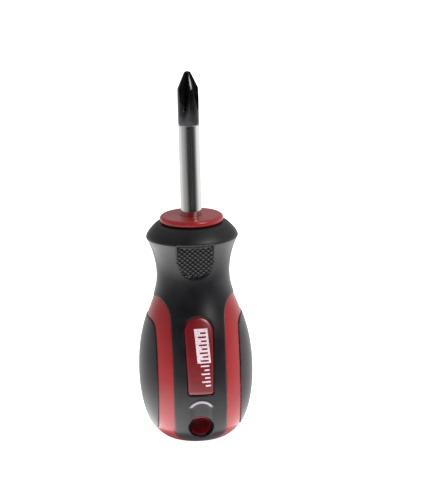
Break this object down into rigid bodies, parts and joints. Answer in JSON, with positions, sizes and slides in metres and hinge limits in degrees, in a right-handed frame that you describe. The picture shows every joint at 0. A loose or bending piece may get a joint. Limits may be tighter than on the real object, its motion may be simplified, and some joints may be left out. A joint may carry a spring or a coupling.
{
  "type": "screwdriver",
  "caption": "Stubby cross-tip screwdriver: round steel blade, hard core handle with moulded soft grip bands, side pads, a badge plate and a hanging hole.",
  "frame": {"origin": "centre of the flat butt face", "axes": "+Z along the tool's axis towards the tip, -Y out of the badge side, Y along the hanging hole"},
  "size_m": [0.0326, 0.0326, 0.1066],
  "materials": {
    "blade_steel": "bright plated bar with fine lengthwise polish, black oxide on the last 15 mm",
    "hard_red": "smooth moulded, semi-gloss",
    "soft_grip": "satin, very fine grain",
    "badge_red": "smooth, with plain white printed bars"
  },
  "bodies": {
    "root": {"blade": "blade_steel", "handle_core": "hard_red", "grip_sleeve": "soft_grip", "side_pad_left": "soft_grip", "side_pad_right": "soft_grip", "front_badge": "badge_red"}
  },
  "joints": []
}
